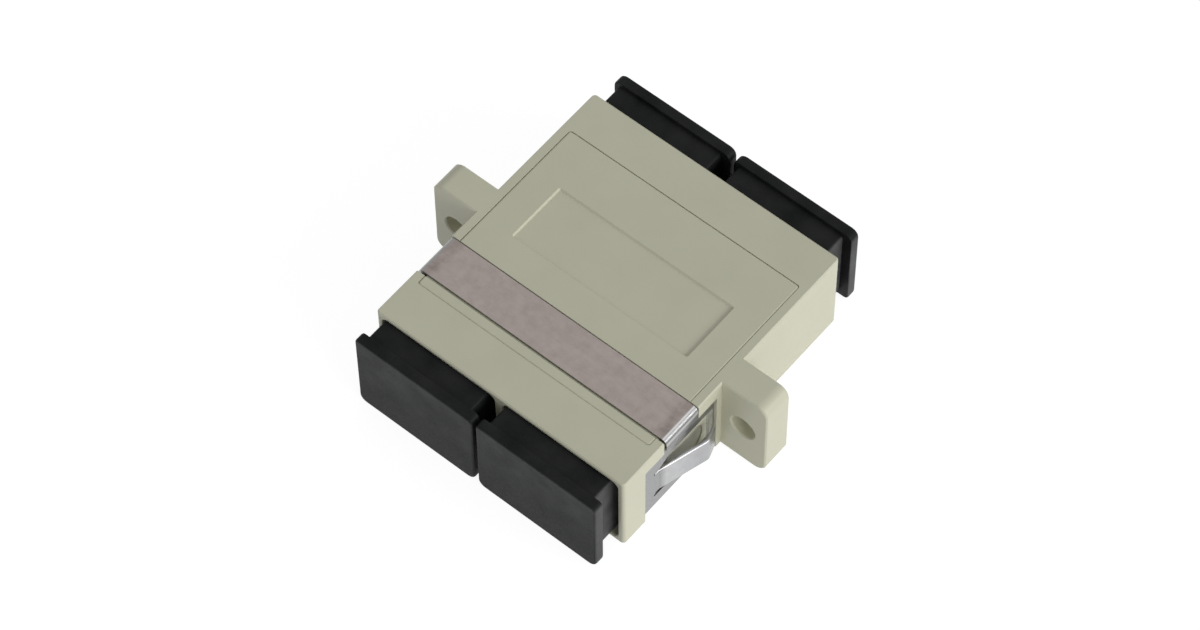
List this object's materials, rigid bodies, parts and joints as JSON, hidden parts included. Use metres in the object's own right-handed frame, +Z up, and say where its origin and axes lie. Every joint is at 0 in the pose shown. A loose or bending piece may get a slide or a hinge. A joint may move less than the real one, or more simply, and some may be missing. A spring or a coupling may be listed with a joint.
{
  "type": "sc duplex fibre adapter",
  "caption": "Panel-mount duplex fibre coupler: moulded housing with side ears, spring clip, hooked sleeve mounts, split sleeves and pull-out dust caps.",
  "frame": {"origin": "middle of the housing's underside", "axes": "+X across the two ports, +Y along the mating axis towards the rear ports, +Z up towards the cover; the front ports face -Y"},
  "size_m": [0.035, 0.0338, 0.0093],
  "materials": {
    "beige_plastic": "satin moulded polymer",
    "inner_plastic": "satin moulded polymer",
    "sleeve_bronze": "satin",
    "cap_black": "matte soft polymer",
    "clip_steel": "rolled spring steel"
  },
  "bodies": {
    "adapter": {"housing": "beige_plastic", "cover": "beige_plastic", "spring_clip": "clip_steel", "sleeve_mount_front_left": "inner_plastic", "sleeve_mount_rear_left": "inner_plastic", "sleeve_mount_front_right": "inner_plastic", "sleeve_mount_rear_right": "inner_plastic", "split_sleeve_left": "sleeve_bronze", "split_sleeve_right": "sleeve_bronze"},
    "cap_front_left": {"dust_cap_front_left": "cap_black"},
    "cap_rear_left": {"dust_cap_rear_left": "cap_black"},
    "cap_front_right": {"dust_cap_front_right": "cap_black"},
    "cap_rear_right": {"dust_cap_rear_right": "cap_black"}
  },
  "joints": [
    {"name": "dust_cap_front_left_pull", "type": "slide", "parent": "adapter", "child": "cap_front_left", "axis": [0, -1, 0], "range_m": [0, 0.015]},
    {"name": "dust_cap_rear_left_pull", "type": "slide", "parent": "adapter", "child": "cap_rear_left", "axis": [0, 1, 0], "range_m": [0, 0.015]},
    {"name": "dust_cap_front_right_pull", "type": "slide", "parent": "adapter", "child": "cap_front_right", "axis": [0, -1, 0], "range_m": [0, 0.015]},
    {"name": "dust_cap_rear_right_pull", "type": "slide", "parent": "adapter", "child": "cap_rear_right", "axis": [0, 1, 0], "range_m": [0, 0.015]}
  ]
}
